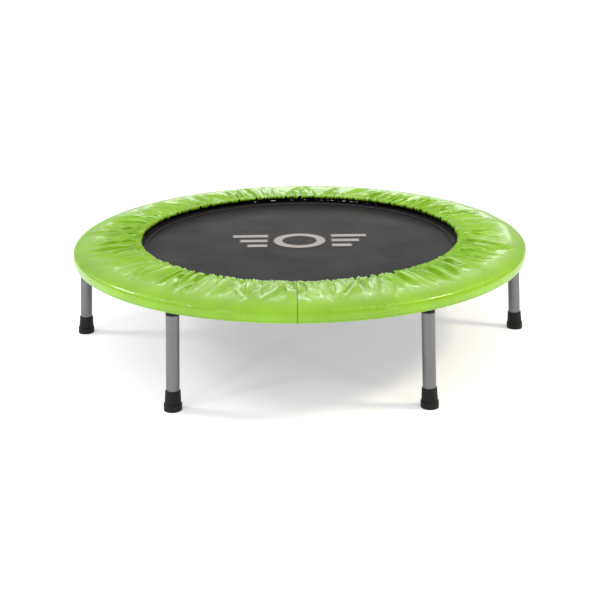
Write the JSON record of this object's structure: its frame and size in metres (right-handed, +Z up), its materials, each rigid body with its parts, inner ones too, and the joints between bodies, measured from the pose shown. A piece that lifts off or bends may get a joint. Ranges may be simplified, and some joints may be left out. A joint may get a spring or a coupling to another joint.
{
  "type": "mini trampoline",
  "caption": "Round mini trampoline with a padded green spring cover, dark woven mat and short screw-in legs.",
  "frame": {"origin": "on the floor, under the centre of the mat", "axes": "+Z up; +X through the centre of leg 1; -Y is the front, between legs 5 and 6"},
  "size_m": [0.9836, 0.9598, 0.2234],
  "materials": {
    "green_vinyl": "glossy coated fabric, gathered",
    "foam": "closed-cell foam",
    "black_lining": "thin non-woven",
    "elastic": "braided elastic",
    "black_mat": "tight woven polypropylene",
    "black_webbing": "ribbed webbing, stitched",
    "leg_steel": "satin",
    "spring_steel": "zinc plated",
    "black_plastic": "moulded",
    "black_rubber": "moulded, satin"
  },
  "bodies": {
    "frame": {"ring_tube": "leg_steel", "leg_stud_1": "spring_steel", "leg_stud_2": "spring_steel", "leg_stud_3": "spring_steel", "leg_stud_4": "spring_steel", "leg_stud_5": "spring_steel", "leg_stud_6": "spring_steel", "cover_top": "green_vinyl", "foam_pad": "foam", "foam_roll": "foam", "cover_lining": "black_lining", "hem_elastic": "elastic", "skirt_elastic": "elastic", "springs_1": "spring_steel", "springs_2": "spring_steel", "springs_3": "spring_steel", "springs_4": "spring_steel", "springs_5": "spring_steel", "springs_6": "spring_steel"},
    "mat": {"mat": "black_mat", "mat_webbing": "black_webbing", "v_rings_1": "spring_steel", "v_rings_2": "spring_steel", "v_rings_3": "spring_steel", "v_rings_4": "spring_steel", "v_rings_5": "spring_steel", "v_rings_6": "spring_steel"},
    "spacer_1": {"leg_spacer_1": "black_plastic"},
    "leg_1": {"leg_tube_1": "leg_steel", "leg_insert_1": "spring_steel", "foot_1": "black_rubber"},
    "spacer_2": {"leg_spacer_2": "black_plastic"},
    "leg_2": {"leg_tube_2": "leg_steel", "leg_insert_2": "spring_steel", "foot_2": "black_rubber"},
    "spacer_3": {"leg_spacer_3": "black_plastic"},
    "leg_3": {"leg_tube_3": "leg_steel", "leg_insert_3": "spring_steel", "foot_3": "black_rubber"},
    "spacer_4": {"leg_spacer_4": "black_plastic"},
    "leg_4": {"leg_tube_4": "leg_steel", "leg_insert_4": "spring_steel", "foot_4": "black_rubber"},
    "spacer_5": {"leg_spacer_5": "black_plastic"},
    "leg_5": {"leg_tube_5": "leg_steel", "leg_insert_5": "spring_steel", "foot_5": "black_rubber"},
    "spacer_6": {"leg_spacer_6": "black_plastic"},
    "leg_6": {"leg_tube_6": "leg_steel", "leg_insert_6": "spring_steel", "foot_6": "black_rubber"}
  },
  "joints": [
    {"name": "mat_bounce", "type": "slide", "parent": "frame", "child": "mat", "axis": [0, 0, 1], "range_m": [-0.06, 0], "stiffness_N_per_m": 10000, "deforming": ["springs_1", "springs_2", "springs_3", "springs_4", "springs_5", "springs_6"]},
    {"name": "leg_drop_1", "type": "slide", "parent": "frame", "child": "spacer_1", "axis": [0.0698, 0, -0.9976], "range_m": [0, 0.012]},
    {"name": "leg_turn_1", "type": "hinge", "parent": "spacer_1", "child": "leg_1", "pos_m": [0.4605, 0, 0.204], "axis": [0.0698, 0, -0.9976], "range_deg": [0, 2880]},
    {"name": "leg_drop_2", "type": "slide", "parent": "frame", "child": "spacer_2", "axis": [0.0349, 0.0604, -0.9976], "range_m": [0, 0.012]},
    {"name": "leg_turn_2", "type": "hinge", "parent": "spacer_2", "child": "leg_2", "pos_m": [0.23025, 0.39881, 0.204], "axis": [0.0349, 0.0604, -0.9976], "range_deg": [0, 2880]},
    {"name": "leg_drop_3", "type": "slide", "parent": "frame", "child": "spacer_3", "axis": [-0.0349, 0.0604, -0.9976], "range_m": [0, 0.012]},
    {"name": "leg_turn_3", "type": "hinge", "parent": "spacer_3", "child": "leg_3", "pos_m": [-0.23025, 0.39881, 0.204], "axis": [-0.0349, 0.0604, -0.9976], "range_deg": [0, 2880]},
    {"name": "leg_drop_4", "type": "slide", "parent": "frame", "child": "spacer_4", "axis": [-0.0698, 0, -0.9976], "range_m": [0, 0.012]},
    {"name": "leg_turn_4", "type": "hinge", "parent": "spacer_4", "child": "leg_4", "pos_m": [-0.4605, 0, 0.204], "axis": [-0.0698, 0, -0.9976], "range_deg": [0, 2880]},
    {"name": "leg_drop_5", "type": "slide", "parent": "frame", "child": "spacer_5", "axis": [-0.0349, -0.0604, -0.9976], "range_m": [0, 0.012]},
    {"name": "leg_turn_5", "type": "hinge", "parent": "spacer_5", "child": "leg_5", "pos_m": [-0.23025, -0.39881, 0.204], "axis": [-0.0349, -0.0604, -0.9976], "range_deg": [0, 2880]},
    {"name": "leg_drop_6", "type": "slide", "parent": "frame", "child": "spacer_6", "axis": [0.0349, -0.0604, -0.9976], "range_m": [0, 0.012]},
    {"name": "leg_turn_6", "type": "hinge", "parent": "spacer_6", "child": "leg_6", "pos_m": [0.23025, -0.39881, 0.204], "axis": [0.0349, -0.0604, -0.9976], "range_deg": [0, 2880]}
  ],
  "couplings": [
    {"joint": "leg_turn_1", "follows": "leg_drop_1", "rad_per_m": 4188.8},
    {"joint": "leg_turn_2", "follows": "leg_drop_2", "rad_per_m": 4188.8},
    {"joint": "leg_turn_3", "follows": "leg_drop_3", "rad_per_m": 4188.8},
    {"joint": "leg_turn_4", "follows": "leg_drop_4", "rad_per_m": 4188.8},
    {"joint": "leg_turn_5", "follows": "leg_drop_5", "rad_per_m": 4188.8},
    {"joint": "leg_turn_6", "follows": "leg_drop_6", "rad_per_m": 4188.8}
  ]
}
